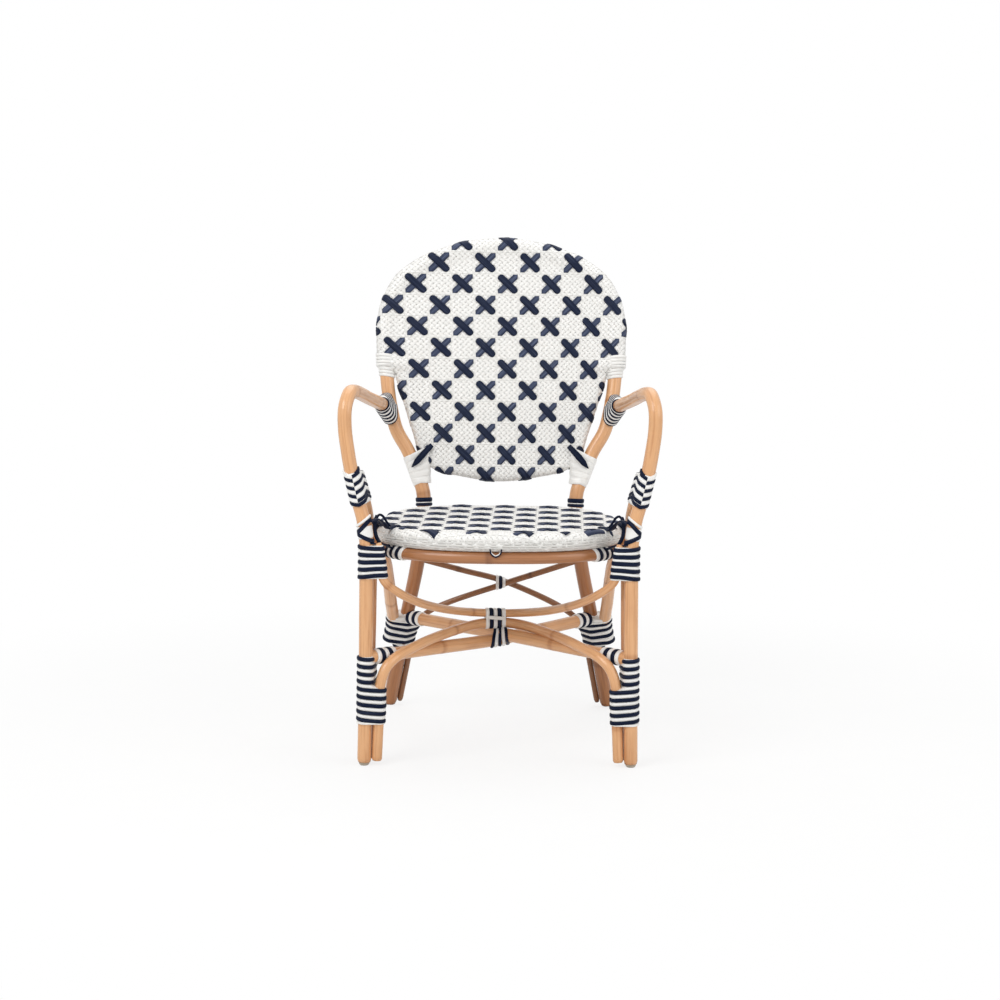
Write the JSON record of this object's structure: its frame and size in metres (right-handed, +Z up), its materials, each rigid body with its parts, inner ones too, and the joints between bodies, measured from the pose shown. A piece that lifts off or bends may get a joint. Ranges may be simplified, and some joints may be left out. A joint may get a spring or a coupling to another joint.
{
  "type": "bistro armchair",
  "caption": "Bent-pole bistro armchair with a woven seat and oval woven back, arched front braces, crossed stretchers and bound joints.",
  "frame": {"origin": "on the floor, under the middle of the chair's bounding box", "axes": "+Z up, the chair faces -Y, +X to the right as seen from the front"},
  "size_m": [0.6, 0.5966, 0.9756],
  "materials": {
    "rattan": "clear-lacquered honey rattan pole, glossy",
    "shaded_rattan": "clear-lacquered darker rattan, satin",
    "woven_strands": "off-white and navy strands, glossy",
    "white_strip": "off-white flat strip, glossy",
    "navy_strip": "dark navy flat strip, glossy",
    "glide": "grey-beige moulded plastic, matt"
  },
  "bodies": {
    "root": {"back_arch_frame": "rattan", "front_leg_arm_left": "rattan", "front_leg_arm_right": "rattan", "side_rail_left": "rattan", "side_rail_right": "rattan", "side_brace_left": "rattan", "side_brace_right": "rattan", "front_lower_arch": "rattan", "front_upper_arch": "rattan", "cross_stretcher_a": "rattan", "cross_stretcher_b": "rattan", "front_rail": "rattan", "rear_rod_a": "shaded_rattan", "rear_rod_b": "shaded_rattan", "rear_rail": "shaded_rattan", "seat_hoop": "shaded_rattan", "seat_slat_left": "shaded_rattan", "seat_slat_right": "shaded_rattan", "back_hoop": "shaded_rattan", "seat_weave": "woven_strands", "back_weave": "woven_strands", "front_leg_binding_upper_left": "white_strip", "front_leg_binding_upper_right": "white_strip", "front_leg_binding_lower_left": "white_strip", "front_leg_binding_lower_right": "white_strip", "arm_binding_left": "white_strip", "arm_binding_right": "white_strip", "arm_end_binding_left": "white_strip", "arm_end_binding_right": "white_strip", "post_binding_left": "white_strip", "post_binding_right": "white_strip", "post_cuff_left": "white_strip", "post_cuff_right": "white_strip", "rear_rod_binding": "white_strip", "front_leg_winding_upper_left": "navy_strip", "front_leg_winding_upper_right": "navy_strip", "front_leg_winding_lower_left": "navy_strip", "front_leg_winding_lower_right": "navy_strip", "stretcher_collar_front_left": "navy_strip", "stretcher_collar_front_right": "navy_strip", "stretcher_collar_rear_left": "navy_strip", "stretcher_collar_rear_right": "navy_strip", "rear_leg_binding_left": "navy_strip", "rear_leg_binding_right": "navy_strip", "post_base_binding_left": "navy_strip", "post_base_binding_right": "navy_strip", "front_rail_binding_left": "navy_strip", "front_rail_binding_right": "navy_strip", "seat_corner_lashing_left": "navy_strip", "seat_corner_lashing_right": "navy_strip", "brace_lashing_left": "navy_strip", "brace_lashing_right": "navy_strip", "centre_arch_binding": "navy_strip", "centre_cross_binding": "navy_strip", "seat_front_tie": "navy_strip", "foot_glide_front_left": "glide", "foot_glide_front_right": "glide", "foot_glide_rear_left": "glide", "foot_glide_rear_right": "glide"}
  },
  "joints": []
}
